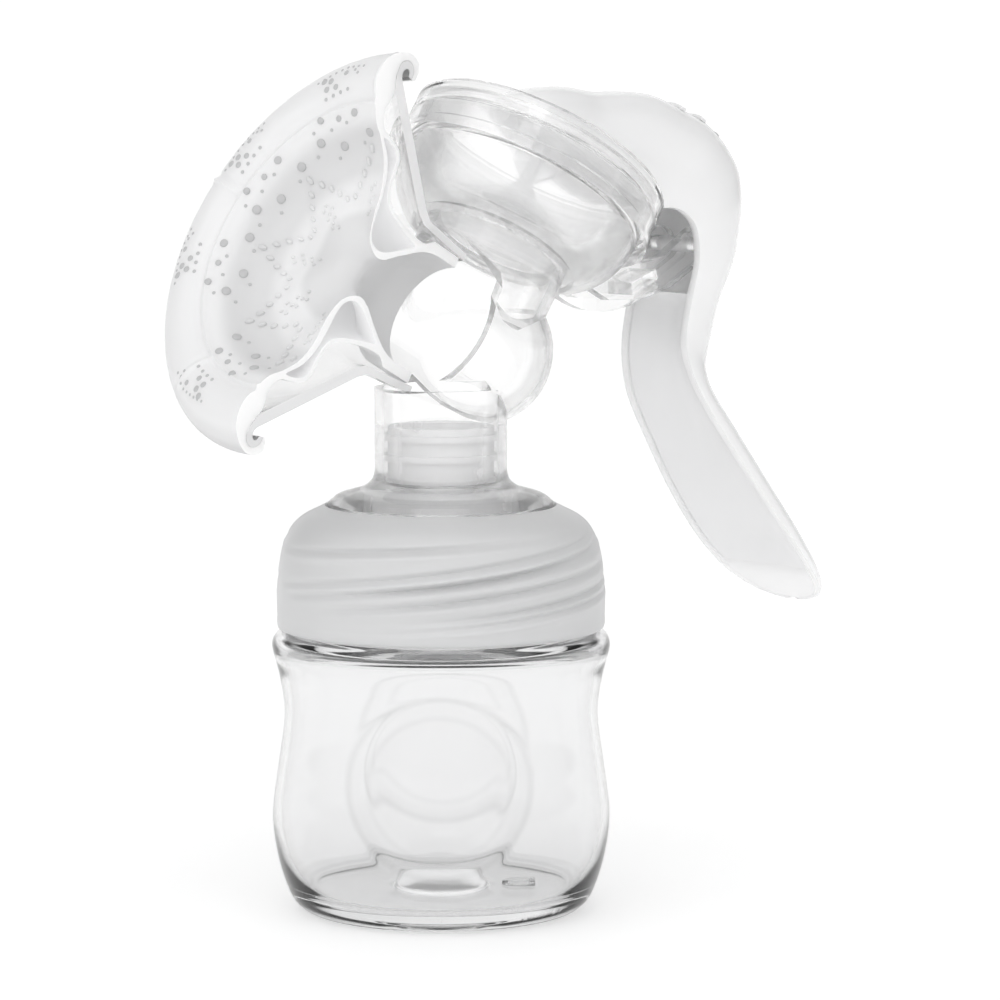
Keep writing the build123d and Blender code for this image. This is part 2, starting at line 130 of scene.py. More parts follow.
def strip(first, second, n):
    """Quads between two rings of n points, given the rings' first vertex numbers."""
    return [(first + i, first + (i + 1) % n, second + (i + 1) % n, second + i) for i in range(n)]


def cap(loops, column, columns):
    """Flat faces that close a part turn at one of its columns."""
    outlines = []
    index = []
    first = 0
    for loop in loops:
        n = len(loop)
        outlines.append([Vector((u, r, 0)) for u, r in loop])
        index += range(first + column * n, first + column * n + n)
        first += n * columns
    return [tuple(index[k] for k in triangle) for triangle in tessellate_polygon(outlines)]


def lathe(loops, axes, steps, sweep=360.0, shift=None):
    """Verts and faces of closed (u, r) loops turned about the axis. A part turn is closed with flat caps.
    shift(loop number, point number, u, r, phi) gives the point's moved (u, r)."""
    full = abs(sweep) >= 360.0
    columns = steps if full else steps + 1
    verts = []
    faces = []
    for number, loop in enumerate(loops):
        first = len(verts)
        n = len(loop)
        for c in range(columns):
            phi = math.radians(sweep * c / steps)
            for i, (u, r) in enumerate(loop):
                if shift:
                    u, r = shift(number, i, u, r, phi)
                verts.append(axes.at(u, max(r, 0.0), phi))
        for c in range(steps):
            faces += strip(first + c * n, first + (c + 1) % columns * n, n)
    if not full:
        for c in (0, columns - 1):
            faces += cap(loops, c, columns)
    return verts, faces


def anchored(node, u, v, loops, sweep=360.0):
    """Axes placed so that the turned loops are centred on the CAD node's box."""
    probe = Axes((0, 0, 0), u, v)
    verts, _ = lathe(loops, probe, 90, sweep)
    lo = Vector([min(p[k] for p in verts) for k in range(3)])
    hi = Vector([max(p[k] for p in verts) for k in range(3)])
    return Axes(centre(node) - (lo + hi) / 2, u, v)


def loft(sections):
    """Verts and faces of a solid through rings of equally many points, with a fan at each end."""
    n = len(sections[0])
    verts = [v for s in sections for v in s]
    faces = []
    for k in range(len(sections) - 1):
        faces += strip(k * n, (k + 1) * n, n)
    for k in (0, len(sections) - 1):
        verts.append(sum(sections[k], Vector()) / n)
        faces += [(k * n + i, k * n + (i + 1) % n, len(verts) - 1) for i in range(n)]
    return verts, faces


def build(name, verts, faces, body, paint, sharp=40):
    """A smooth piece that rides on a body. Edges that turn by more than sharp degrees stay crisp."""
    mesh = bpy.data.meshes.new(name)
    mesh.from_pydata([tuple(v) for v in verts], [], faces)
    bm = bmesh.new()
    bm.from_mesh(mesh)
    bmesh.ops.remove_doubles(bm, verts=bm.verts, dist=1e-7)
    bmesh.ops.recalc_face_normals(bm, faces=bm.faces)
    bm.to_mesh(mesh)
    bm.free()
    mesh.polygons.foreach_set("use_smooth", [True] * len(mesh.polygons))
    mesh.set_sharp_from_angle(angle=math.radians(sharp))
    obj = bpy.data.objects.new(name, mesh)
    bpy.context.scene.collection.objects.link(obj)
    mesh.materials.append(paint)
    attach(obj, body)
    return obj


def repaint(obj, paint, chosen):
    """Gives the polygons for which chosen(polygon) is true a finish of their own."""
    obj.data.materials.append(paint)
    for polygon in obj.data.polygons:
        if chosen(polygon):
            polygon.material_index = len(obj.data.materials) - 1


def thread(name, radius, crest, start, body, paint):
    """One helical ridge on a wall of that radius, a little over a turn long and tapered at its ends."""
    per_turn = 96
    steps = int(1.15 * per_turn)
    taper = 8
    pitch = 4.0
    root = radius + math.copysign(0.3, radius - crest)  # sunk a little into the wall
    verts = []
    faces = []
    for k in range(steps + 1):
        fade = min(1.0, k / taper, (steps - k) / taper)
        z = start + pitch * k / per_turn
        phi = 2 * math.pi * k / per_turn
        top = radius + (crest - radius) * max(fade, 0.02)
        for dz, r in ((-1.3, root), (-0.65, top), (0.65, top), (1.3, root)):
            verts.append(upright.at(z + dz * max(fade, 0.3), r, phi))
    for k in range(steps):
        faces += strip(4 * k, 4 * k + 4, 4)
    faces.append((0, 1, 2, 3))
    faces.append(tuple(4 * steps + j for j in (3, 2, 1, 0)))
    return build(name, verts, faces, body, paint)


# ---- materials ----------------------------------------------------------------------------------

SHADOW_ALPHA = 0.06  # how much lamp light a clear wall stops
SHADE_REACH = 45.0  # radius in millimetres at which the painted shade by radius ends


def grey(level):
    """An opaque grey for a node's colour."""
    return (level, level, level, 1)


def set_ramp(ramp, stops):
    """Gives a new colour ramp its grey stops, (position, level), from first to last."""
    for end, (place, level) in zip(ramp.elements, (stops[0], stops[-1])):
        end.position = place
        end.color = grey(level)
    for place, level in stops[1:-1]:
        ramp.elements.new(place).color = grey(level)


def mix_colours(tree, kind, first=None, second=None, factor=None):
    """Colour mix node at full strength. first, second and factor are the sockets that feed it."""
    mix = tree.nodes.new("ShaderNodeMix")
    mix.data_type = "RGBA"
    mix.blend_type = kind
    mix.inputs["Factor"].default_value = 1.0
    for socket, source in (("Factor", factor), ("A", first), ("B", second)):
        if source is not None:
            tree.links.new(source, mix.inputs[socket])
    return mix


def material(
    name,
    colour,
    rough,
    transmission=0.0,
    ior=1.45,
    alpha=1.0,
    coat=0.0,
    subsurface=0.0,
    grain=900.0,
    grain_depth=0.002,
    mottle=0.02,
    edge_shade_tone=1.0,
    painted_glow=0.0,
):
    """Moulded plastic or silicone: fine surface grain, uneven gloss and slight mottling of the colour.
    The edge tone is painted shade, the colour a clear wall darkens to where it is seen edge-on; the glow is
    emitted light painted in for light that seeps through the walls."""
    m = bpy.data.materials.new(name)
    m.use_nodes = True
    nodes = m.node_tree.nodes
    links = m.node_tree.links
    shader = nodes["Principled BSDF"]
    shader.inputs["IOR"].default_value = ior
    shader.inputs["Transmission Weight"].default_value = transmission
    shader.inputs["Alpha"].default_value = alpha
    if transmission == 1.0:
        # clear plastic lets nearly all the light through to what it encloses
        path = nodes.new("ShaderNodeLightPath")
        shade = nodes.new("ShaderNodeMapRange")
        shade.inputs["To Min"].default_value = alpha
        shade.inputs["To Max"].default_value = SHADOW_ALPHA
        links.new(path.outputs["Is Shadow Ray"], shade.inputs["Value"])
        links.new(shade.outputs["Result"], shader.inputs["Alpha"])
    shader.inputs["Coat Weight"].default_value = coat
    shader.inputs["Coat Roughness"].default_value = 0.08
    if subsurface:
        shader.inputs["Subsurface Weight"].default_value = subsurface
        shader.inputs["Subsurface Radius"].default_value = (4 * MM, 4 * MM, 4 * MM)
        shader.inputs["Subsurface Scale"].default_value = 1.0
    # painted light: an emission that stands in for light seeping through the walls
    if painted_glow:
        shader.inputs["Emission Color"].default_value = grey(1)
        shader.inputs["Emission Strength"].default_value = painted_glow
    place = nodes.new("ShaderNodeTexCoord")
    cloud = nodes.new("ShaderNodeTexNoise")
    cloud.inputs["Scale"].default_value = 60.0
    cloud.inputs["Detail"].default_value = 4.0
    links.new(place.outputs["Object"], cloud.inputs["Vector"])
    tint = nodes.new("ShaderNodeValToRGB")
    low = tuple(max(0.0, c - mottle) for c in colour)
    tint.color_ramp.elements[0].color = (*low, 1)
    tint.color_ramp.elements[1].color = (*colour, 1)
    links.new(cloud.outputs["Fac"], tint.inputs["Fac"])
    surface = tint.outputs["Color"]
    if edge_shade_tone < 1.0:
        # painted shade: the colour darkens where a clear wall is seen edge-on, in place of the dark edges that
        # refraction draws
        edge_on = nodes.new("ShaderNodeLayerWeight")
        edge_on.inputs["Blend"].default_value = 0.5
        edge_shade = nodes.new("ShaderNodeValToRGB")
        set_ramp(edge_shade.color_ramp, [(0.62, 1.0), (1.0, edge_shade_tone)])
        links.new(edge_on.outputs["Facing"], edge_shade.inputs["Fac"])
        surface = mix_colours(m.node_tree, "MULTIPLY", surface, edge_shade.outputs["Color"]).outputs["Result"]
    links.new(surface, shader.inputs["Base Color"])
    gloss = nodes.new("ShaderNodeMapRange")
    gloss.inputs["To Min"].default_value = rough * 0.8
    gloss.inputs["To Max"].default_value = min(1.0, rough * 1.25)
    links.new(cloud.outputs["Fac"], gloss.inputs["Value"])
    links.new(gloss.outputs["Result"], shader.inputs["Roughness"])
    fine = nodes.new("ShaderNodeTexNoise")
    fine.inputs["Scale"].default_value = grain
    fine.inputs["Detail"].default_value = 3.0
    links.new(place.outputs["Object"], fine.inputs["Vector"])
    bump = nodes.new("ShaderNodeBump")
    bump.inputs["Strength"].default_value = 0.15
    bump.inputs["Distance"].default_value = grain_depth * MM
    links.new(fine.outputs["Fac"], bump.inputs["Height"])
    links.new(bump.outputs["Normal"], shader.inputs["Normal"])
    return m


def shade_by_radius(paint, axes, stops):
    """Painted shade: multiplies the colour by a grey that changes with distance from an axis, darkening rings of a
    turned moulding.
    stops are (distance from the axis in millimetres, tone)."""
    nodes = paint.node_tree.nodes
    links = paint.node_tree.links
    place = nodes.new("ShaderNodeTexCoord")
    offset = nodes.new("ShaderNodeVectorMath")
    offset.operation = "SUBTRACT"
    offset.inputs[1].default_value = axes.o
    across = nodes.new("ShaderNodeVectorMath")
    across.operation = "CROSS_PRODUCT"
    across.inputs[1].default_value = axes.u
    size = nodes.new("ShaderNodeVectorMath")
    size.operation = "LENGTH"
    reach = nodes.new("ShaderNodeMapRange")
    reach.inputs["From Max"].default_value = SHADE_REACH * MM
    band = nodes.new("ShaderNodeValToRGB")
    band.color_ramp.interpolation = "EASE"
    set_ramp(band.color_ramp, [(r / SHADE_REACH, level) for r, level in stops])
    links.new(place.outputs["Object"], offset.inputs[0])
    links.new(offset.outputs["Vector"], across.inputs[0])
    links.new(across.outputs["Vector"], size.inputs[0])
    links.new(size.outputs["Value"], reach.inputs["Value"])
    links.new(reach.outputs["Result"], band.inputs["Fac"])
    colour = nodes["Principled BSDF"].inputs["Base Color"]
    shaded = mix_colours(paint.node_tree, "MULTIPLY", colour.links[0].from_socket, band.outputs["Color"])
    links.new(shaded.outputs["Result"], colour)


clear_look = {"transmission": 1.0, "mottle": 0.004}
silicone_look = {"subsurface": 0.25, "grain": 1800.0, "grain_depth": 0.01}
# the clear plastics below get painted shade on their walls where seen edge-on
clear = material(
    "clear_polished_plastic", (0.998, 0.998, 0.998), 0.02, ior=1.36, alpha=0.78, edge_shade_tone=0.72,
    **clear_look,
)
clear_thick = material(
    "clear_thick_plastic", (0.985, 0.985, 0.985), 0.02, ior=1.45, alpha=0.97, edge_shade_tone=0.55, **clear_look
)
bottle_clear = material(
    "bottle_plastic", (0.925, 0.926, 0.928), 0.05, transmission=1.0, ior=1.33, mottle=0.006, edge_shade_tone=0.66
)
bottle_base = material(
    "bottle_thick_base", (0.8, 0.802, 0.805), 0.06, transmission=1.0, ior=1.33, mottle=0.01, edge_shade_tone=0.8
)
# painted light: the hollow under the bottle's floor is a mid grey that glows a little, standing in for light that
# seeps through the walls
bottle_recess_glow = material(
    "bottle_floor_recess_painted_glow", (0.86, 0.862, 0.865), 0.15, transmission=0.7, ior=1.33, mottle=0.01, painted_glow=0.22
)
frosted = material(
    "frosted_plastic",
    (0.79, 0.793, 0.797),
    0.34,
    transmission=0.25,
    ior=1.4,
    subsurface=0.15,
    grain=2500.0,
    grain_depth=0.02,
)
cushion_silicone = material(
    "cushion_silicone", (0.95, 0.95, 0.955), 0.32, transmission=0.15, ior=1.4, **silicone_look
)
silicone = material(
    "translucent_silicone", (0.93, 0.93, 0.935), 0.32, transmission=0.15, ior=1.4, **silicone_look
)
milky = material("milky_plastic", (0.99, 0.99, 0.995), 0.25, transmission=0.4, ior=1.3, alpha=0.85)
white = material("glossy_white_plastic", (0.935, 0.935, 0.94), 0.16, coat=0.3, subsurface=0.5, mottle=0.01)
cut_silicone = material("silicone_cut_face", (1.0, 1.0, 1.0), 0.5, subsurface=0.4, mottle=0.01)
cut_clear = material("clear_cut_face", (0.9, 0.9, 0.905), 0.25, transmission=0.2, ior=1.3, mottle=0.03)
grey_silicone = material("silicone_dots", (0.6, 0.6, 0.605), 0.35, transmission=0.15, ior=1.4)
diaphragm_silicone = material(
    "diaphragm_silicone", (0.985, 0.985, 0.99), 0.2, transmission=0.5, ior=1.2, alpha=0.4
)
# painted light: the closed pocket in the cushion glows a little, standing in for light that seeps through the
# silicone
pocket_silicone_glow = material("silicone_pocket_painted_glow", (0.95, 0.95, 0.955), 0.35, painted_glow=0.08, **silicone_look)
# painted shade: a darker copy of the glossy white for the handle's inner face, which lies in shade
white_inner_shaded = material("white_plastic_inner_painted_shade", (0.9, 0.9, 0.905), 0.22, mottle=0.012)

by_slot = {
    "clear_bottle": bottle_clear,
    "clear_body": clear,
    "frosted_collar": frosted,
    "silicone": silicone,
    "milky_plastic": milky,
    "white_plastic": white,
}
slot_of = {s["node"]: s["material_slot"] for s in record["subparts"]}
for node, obj in frame["nodes"].items():
    obj.data.materials.clear()
    obj.data.materials.append(clear_thick if node == "chamber_ring" else by_slot[slot_of[node]])


# ---- bottle -------------------------------------------------------------------------------------

bottle_out = curve(
    [(1.2, 0.01), (1.2, 7.5), (0.5, 8.2), (0.0, 8.9), (0.0, 10.5), (0.0, 24.0), (0.0, 26.4), (0.9, 28.4)]
    + [(3.6, 30.4), (10.5, 32.6), (19.0, 33.6), (28.5, 32.5), (39.0, 31.2), (46.5, 32.1), (51.6, 33.4)]
    + [(53.6, 33.5), (55.2, 32.6), (55.9, 30.6), (56.0, 28.6), (56.3, 27.2), (57.5, 27.0), (60.0, 27.0)],
    8,
) + [(74.0, 27.0), (74.2, 26.8)]
bottle_in = [(74.2, 25.2), (74.0, 25.0)] + curve(
    [(58.0, 25.0), (56.0, 25.0), (54.4, 26.4), (53.8, 29.5), (53.2, 31.2), (51.2, 31.8), (46.5, 30.5)]
    + [(39.0, 29.6), (28.5, 30.9), (19.0, 32.0), (11.5, 30.9), (6.0, 28.6), (3.9, 26.2), (3.6, 24.0)]
    + [(3.6, 14.0), (3.7, 10.0), (4.6, 8.0), (5.0, 5.0), (5.2, 0.01)],
    8,
)
bottle_loop = bottle_out + bottle_in
BAND_HEIGHT = 4.4  # top of the thick band round the bottle's base
BAND_RADIUS = 26.3
RECESS_TOP = 1.3  # height that clears the hollow under the bottle's floor
RECESS_RADIUS = 8.9

DISC_DEGREES = FRONT_DEGREES - 90.0
DISC_HEIGHT = 28.8
DISC_RADIUS = 17.4
DISC_DEPTH = 0.6
ISLAND_RADIUS = 13.6  # middle of the disc, where the wall comes part of the way back out
ISLAND_RISE = 0.35
disc_phi = math.radians(DISC_DEGREES)


def pressed_disc(number, i, u, r, phi):
    """A round shallow recess moulded into the bottle's front and back."""
    if i >= len(bottle_out) or not 7 < u < 48:
        return u, r
    turn = (phi - disc_phi + math.pi / 2) % math.pi - math.pi / 2
    d = math.hypot(abs(turn) * r, u - DISC_HEIGHT)
    edge = 1 / (1 + math.exp((d - DISC_RADIUS) / 0.35))
    inner = 1 / (1 + math.exp((d - ISLAND_RADIUS) / 0.6))
    fade = min(1.0, max(0.0, (u - 10.0) / 7.0))
    return u, r - (DISC_DEPTH * edge - ISLAND_RISE * inner) * fade


disc_axes = Axes(base + Vector((0, 0, DISC_HEIGHT * MM)), level_direction(DISC_DEGREES), (0, 0, 1))
# painted shade: darker rings in the bottle's colour along the pressed disc's edges
shade_by_radius(
    bottle_clear,
    disc_axes,
    [(0.0, 0.99), (12.7, 0.99), (13.7, 0.955), (14.8, 0.985), (16.4, 0.97), (17.5, 0.91), (18.7, 1.0)]
    + [(SHADE_REACH, 1.0)],
)
verts, faces = lathe([bottle_loop], upright, 288, shift=pressed_disc)
bottle = build("bottle_blown", verts, faces, "bottle", bottle_clear, sharp=60)

# a small D-shaped moulded mark on the bottle's floor, to the right of its middle
MARK_OUT = 15.5  # from the bottle's axis to the D's origin
MARK_ASIDE = -1.5
mark_axis = level_direction(FRONT_DEGREES)
mark_side = Vector((-mark_axis.y, mark_axis.x, 0))
rounded_side = [
    (0.2 + 3.1 * math.sin(math.radians(a)), 2.6 * math.cos(math.radians(a))) for a in range(0, 181, 9)
]
mark_outline = [(-3.4, -2.6), (-3.4, 2.6)] + rounded_side
# section of the mark's wall: scale of the outline and height above the base
mark_wall = [(1.0, 3.4), (1.0, 4.3), (0.88, 4.6), (0.7, 4.6), (0.62, 4.2), (0.62, 3.4)]
verts = []
for x, y in mark_outline:
    for scale, z in mark_wall:
        out = mark_axis * (MARK_OUT - x * scale)
        aside = mark_side * (y * scale + MARK_ASIDE)
        verts.append(base + MM * (out + aside + Vector((0, 0, z))))
faces = []
n = len(mark_wall)
for k in range(len(mark_outline)):
    faces += strip(n * k, n * (k + 1) % len(verts), n)
build("bottle_floor_mark", verts, faces, "bottle", bottle_clear, sharp=50)

thread("bottle_thread", 27.0, 28.3, 62.0, "bottle", bottle_clear)
repaint(
    bottle,
    bottle_base,
    lambda p: p.center.z < BAND_HEIGHT * MM and p.center.xy.length > BAND_RADIUS * MM,
)
# painted light: the faces of the hollow under the floor glow
repaint(
    bottle,
    bottle_recess_glow,
    lambda p: p.center.z < RECESS_TOP * MM and p.center.xy.length < RECESS_RADIUS * MM,
)
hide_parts("bottle")

# ---- screw collar -------------------------------------------------------------------------------

collar_out = curve(
    [(56.4, 31.9), (56.5, 32.3), (57.4, 32.55), (60.0, 32.7), (63.6, 32.7), (68.5, 32.3)]
    + [(72.4, 31.6), (75.0, 30.6), (77.1, 29.1), (78.6, 27.2), (79.7, 25.0), (80.5, 23.4)]
    + [(80.7, 22.95), (80.4, 22.75)],
    14,
)
collar_in = [(77.0, 22.75), (76.9, 22.9), (76.9, 27.2), (74.4, 29.2), (58.6, 29.2), (56.4, 30.8)]
SWEEPS_FROM = math.radians(214)  # turn at which the creases' half turns begin
CREASE_DEPTH = 1.0
CREASE_WIDTH = 0.68
SWELL_RISE = 0.48
SWELL_WIDTH = 0.95
SWELL_OFFSET = 1.2  # how far below its crease the swell's crest lies
# each crease: where in the half turn it begins, its length, its height there, its climb over a half turn
sweeps = [
    (0.03, 0.7, 73.0, 5.5),
    (0.05, 0.9, 66.4, 11.5),
    (0.08, 0.85, 64.6, 10.0),
    (0.3, 0.68, 66.6, 12.5),
    (0.2, 0.74, 62.6, 10.5),
    (0.37, 0.62, 60.8, 10.0),
    (0.34, 0.64, 59.0, 9.5),
]


def swooshes(number, i, u, r, phi):
    """Creases that start level and sweep upwards round the collar, each with a soft swell below it."""
    if i >= len(collar_out):
        return u, r
    turn = (phi + SWEEPS_FROM) % (2 * math.pi) / (2 * math.pi) * 2
    relief = 0.0
    for begin, length, low, climb in sweeps:
        t = ((turn - begin) % 1.0) / length
        if t < 1.0:
            d = u - (low + climb * length * t**1.2)
            strength = math.sin(math.pi * t) ** 0.9
            swell = SWELL_RISE * bell(d + SWELL_OFFSET, SWELL_WIDTH)
            relief += strength * (swell - CREASE_DEPTH * bell(d, CREASE_WIDTH))
    # the creases fade out towards the collar's lower edge and its shoulder
    hold = max(0.0, min(1.0, (u - 57.6) / 1.2)) * max(0.0, min(1.0, (78.0 - u) / 3.0))
    return u, r - 0.15 * hold + relief * hold


verts, faces = lathe([collar_out + collar_in], upright, 288, shift=swooshes)
collar = build("collar_rippled", verts, faces, "collar", frosted, sharp=50)
thread("collar_thread", 29.2, 27.5, 60.0, "collar", frosted)
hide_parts("screw_collar")

# ---- massage cushion ----------------------------------------------------------------------------

HALF = -180.0  # the funnel and its cushion are cut in half lengthwise
CUSHION_STEPS = 300
tilt = math.radians(29.0)
down_tunnel = (math.cos(tilt), 0, -math.sin(tilt))
above_tunnel = (math.sin(tilt), 0, math.cos(tilt))
face_line = curve(
    [(-34.9, 40.6), (-35.6, 41.9), (-37.2, 42.9), (-39.3, 42.9), (-41.5, 41.5), (-43.2, 39.3)]
    + [(-43.8, 36.6), (-43.3, 33.8), (-42.2, 31.0), (-40.4, 27.6), (-37.6, 25.0), (-34.9, 21.5)]
    + [(-33.2, 17.0), (-32.4, 11.0), (-31.0, 6.8), (-28.4, 4.6), (-25.8, 4.6), (-22.0, 7.4)]
    + [(-17.6, 10.4), (-14.0, 11.5), (-8.4, 11.6)],
    10,
)
back_line = [(-8.4, 13.75)] + curve(
    [(-15.8, 13.75), (-16.6, 12.9), (-18.0, 12.2), (-21.5, 12.4), (-25.2, 13.3), (-28.4, 14.6)]
    + [(-30.0, 16.2), (-30.7, 18.2), (-30.9, 21.0), (-31.3, 23.6), (-32.6, 25.3), (-35.2, 26.3)]
    + [(-37.4, 26.9), (-38.7, 28.4), (-39.3, 30.4), (-38.9, 32.6), (-38.95, 34.5), (-39.95, 37.6)]
    + [(-39.95, 40.2), (-38.9, 41.45), (-37.4, 41.45), (-36.25, 40.2), (-36.0, 38.6), (-35.3, 38.9)],
    5,
)
pocket = curve(
    [(-36.9, 25.5), (-36.0, 24.4), (-34.3, 22.5), (-32.8, 19.6), (-32.0, 16.4), (-31.6, 13.2)]
    + [(-31.4, 10.6), (-30.9, 8.2), (-30.0, 6.6), (-28.6, 5.8), (-27.0, 5.7), (-24.8, 6.7)]
    + [(-22.2, 8.4), (-19.6, 10.4), (-21.5, 11.3), (-25.2, 12.4), (-28.2, 13.6), (-30.1, 15.1)]
    + [(-31.1, 17.2), (-31.6, 20.0), (-31.8, 22.8), (-33.2, 24.6), (-35.2, 25.4)],
    5,
    closed=True,
)
cushion_loop = face_line + back_line
cushion_axes = anchored("massage_cushion", down_tunnel, above_tunnel, [cushion_loop], HALF)
# painted shade: the cushion's colour darkened in its throat and cup and at its outer edge
shade_by_radius(
    cushion_silicone,
    cushion_axes,
    [(0.0, 0.86), (11.0, 0.84), (13.5, 1.0), (17.5, 1.0), (21.0, 0.84), (25.5, 0.8), (29.0, 0.98)]
    + [(31.0, 1.0), (39.2, 1.0), (41.8, 0.9), (43.3, 0.7)],
)
cut_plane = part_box("massage_cushion")[0][1]
fold_angles = [math.radians(a) for a in (0.5, 72.5, 146.0, 219.0, 291.0)]
RIM_STEP = 30.4  # radius of the step between the cushion's cup and its rim
PETALS = 5
PETAL_RISE = 0.75
PETAL_RADIUS = 13.0  # where the petals are highest
PETAL_TURN = math.radians(36.5)


def face_rise(r, phi, u):
    """How far the cushion's face stands proud: a step round its cup, folds across its rim, and petals."""
    around = -phi
    rise = 0.45 * bell(r - RIM_STEP, 0.45) - 0.35 * bell(r - 31.5, 0.6) + 0.22 * bell(r - 34.5, 1.6)
    for fold in fold_angles:
        d = ((around - fold + math.pi) % (2 * math.pi) - math.pi) * r
        if 30.8 < r < 42:
            rise += 0.55 * bell(d, 0.55) - 0.3 * bell(d + 1.3, 0.6)
    if u < -22 and r < 26:
        petal = math.cos(PETALS * (around - PETAL_TURN) - 0.9 * math.sin((r - 5) / 6.0))
        rise += PETAL_RISE * petal * bell(r - PETAL_RADIUS, 6.0)
    return rise


def on_cut(polygon):
    """True for the flat faces left by the lengthwise cut."""
    return abs(polygon.normal.y) > 0.999 and abs(polygon.center.y - cut_plane) < 0.1 * MM


def cushion_shift(number, i, u, r, phi):
    """Raises the cushion's face along the tunnel, and less so, outwards, inside the throat."""
    if number == 0 and i < len(face_line) - 12:
        rise = face_rise(r, phi, u)
        if u < -25:
            return u - rise, r
        return u, r - 0.3 * rise
    return u, r


verts, faces = lathe([cushion_loop, pocket], cushion_axes, CUSHION_STEPS, HALF, shift=cushion_shift)
cushion = build("cushion_petals", verts, faces, "pump_body", cushion_silicone, sharp=50)
repaint(cushion, cut_silicone, on_cut)
# the pocket's faces follow the outer surface's in the mesh
pocket_first = len(cushion_loop) * CUSHION_STEPS
pocket_end = pocket_first + len(pocket) * CUSHION_STEPS
# painted light: the pocket's faces glow
repaint(cushion, pocket_silicone_glow, lambda p: pocket_first <= p.index < pocket_end)
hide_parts("massage_cushion")

# ---- funnel shell -------------------------------------------------------------------------------

# profile behind the cushion: a wall flaring from the barrel's mouth, its lip rolled back over itself
shell_loop = (
    [(-7.0, 13.8), (-7.0, 15.3), (-18.5, 16.7), (-20.6, 18.3)]
    + curve([(-37.3, 36.5), (-38.5, 37.9), (-38.7, 39.2), (-38.1, 40.0), (-37.4, 39.8), (-37.0, 38.8)], 6)
    + curve(
        [(-36.1, 38.6), (-36.3, 40.2), (-37.4, 41.4), (-38.9, 41.4), (-39.9, 40.2), (-39.9, 37.7)]
        + [(-38.9, 34.9)],
        6,
    )
    + [(-22.4, 17.2), (-19.7, 15.3)]
)
shell_axes = anchored("funnel_shell", down_tunnel, above_tunnel, [shell_loop], HALF)
verts, faces = lathe([shell_loop], shell_axes, 240, HALF)
shell = build("funnel_half", verts, faces, "pump_body", clear)
repaint(shell, cut_clear, on_cut)
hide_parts("funnel_shell")

# ---- dots and ovals on the cushion --------------------------------------------------------------

# front of the cushion from the crest of its rim to the mouth of the throat
front = [p for p in face_line if 6.0 < p[1] < 41.0 and p[0] < -29.5]
STUD_POINTS = 14
STUD_SINK = 0.15  # how deep a stud is rooted in the face


def on_face(r, around):
    """Point on the cushion's face and its outward direction, at r and at an angle around from the top."""
    for (u0, r0), (u1, r1) in zip(front, front[1:]):
        if (r0 - r) * (r1 - r) <= 0 and r0 != r1:
            u = u0 + (u1 - u0) * (r - r0) / (r1 - r0)
            break
    rise = face_rise(r, -around, u)
    point = cushion_axes.at(u - rise, r, -around)
    slope = (u1 - u0) / (r1 - r0)
    out_r = cushion_axes.at(0, 1, -around) - cushion_axes.at(0, 0, -around)
    normal = (-cushion_axes.u + slope * out_r / MM).normalized()
    return point, normal


def studs(name, spots, height, paint):
    """Low oval domes on the cushion's face. A spot is (r, degrees around, width across, width along)."""
    verts = []
    faces = []
    n = STUD_POINTS
    for r, degrees, across, along in spots:
        if not 4.0 < degrees < 176.5:
            continue  # too near the cut
        around = math.radians(degrees)
        point, normal = on_face(r, around)
        side = normal.cross(cushion_axes.at(0, 1, -around) - cushion_axes.at(0, 0, 0)).normalized()
        out = side.cross(normal)
        first = len(verts)
        for lift, scale in ((-STUD_SINK, 1.0), (height * 0.55, 0.96), (height * 0.92, 0.72)):
            for k in range(n):
                t = 2 * math.pi * k / n
                half_x = across / 2 * scale * math.cos(t)
                half_y = along / 2 * scale * math.sin(t)
                verts.append(point + MM * (out * half_x + side * half_y + normal * lift))
        verts.append(point + MM * normal * height)
        for ring in (0, 1):
            faces += strip(first + ring * n, first + (ring + 1) * n, n)
        for k in range(n):
            faces.append((first + 2 * n + k, first + 2 * n + (k + 1) % n, first + 3 * n))
        faces.append(tuple(first + k for k in reversed(range(n))))
    build(name, verts, faces, "pump_body", paint, sharp=70)


rim_big = []
rim_small = []
cup_big = []
for middle in (20.0, 61.0, 100.0, 153.0):
    for k, (r, turn) in enumerate(((37.3, 5.0), (36.6, 2.0), (35.0, 3.6), (34.8, -0.4), (37.4, -4.0))):
        size = 1.5 - 0.08 * k
        rim_big.append((r, middle + turn, size, size))
    for k in range(9):
        rim_small.append((38.8 - 0.22 * abs(k - 5), middle + 7.6 - 2.3 * k, 0.62, 0.62))
    for k in range(5):
        rim_small.append((37.6 - 0.9 * (k % 2), middle - 7.6 - 1.7 * k + 3.4 * (k // 2), 0.7, 0.7))
    for k in range(4):
        rim_small.append((33.2 + 0.15 * k, middle + 4.5 - 3.4 * k, 0.8, 0.8))
    outer_spots = ((30.0, 9.0, 1.5), (29.2, -8.0, 1.7), (29.0, 0.5, 1.3))
    inner_spots = ((26.8, 13.0, 1.9), (25.9, -14.0, 1.9), (25.0, 3.0, 1.9))
    for r, turn, size in outer_spots + inner_spots:
        cup_big.append((r, middle + turn, size, size))
        rim_small.append((r - 1.3, middle + turn + 5.0, 0.75, 0.75))

# ovals and beads lie along the borders between the petals
ovals = []
beads = []
for border in (7.0, 48.0, 88.0, 130.0, 171.0):
    for k in range(5):
        size = 1.0 - 0.09 * k
        for side in (-1, 1) if k else (1,):
            turn = side * (3.9 * k + 0.1 * k * k)
            ovals.append((23.6 - 1.9 * k, border + turn, 2.0 * size, 1.1 * size))
    for k in range(9):
        beads.append((17.6 - 0.85 * k, border + 4.0 * math.sin(2.1 * k), 0.9, 0.6))

studs("cushion_dots_large", rim_big, 0.18, grey_silicone)
studs("cushion_dots_small", rim_small, 0.14, grey_silicone)
studs("cushion_dots_cup", cup_big, 0.3, grey_silicone)
studs("cushion_ovals", ovals, 0.6, cushion_silicone)
studs("cushion_beads", beads, 0.3, cushion_silicone)

# ---- diaphragm ----------------------------------------------------------------------------------

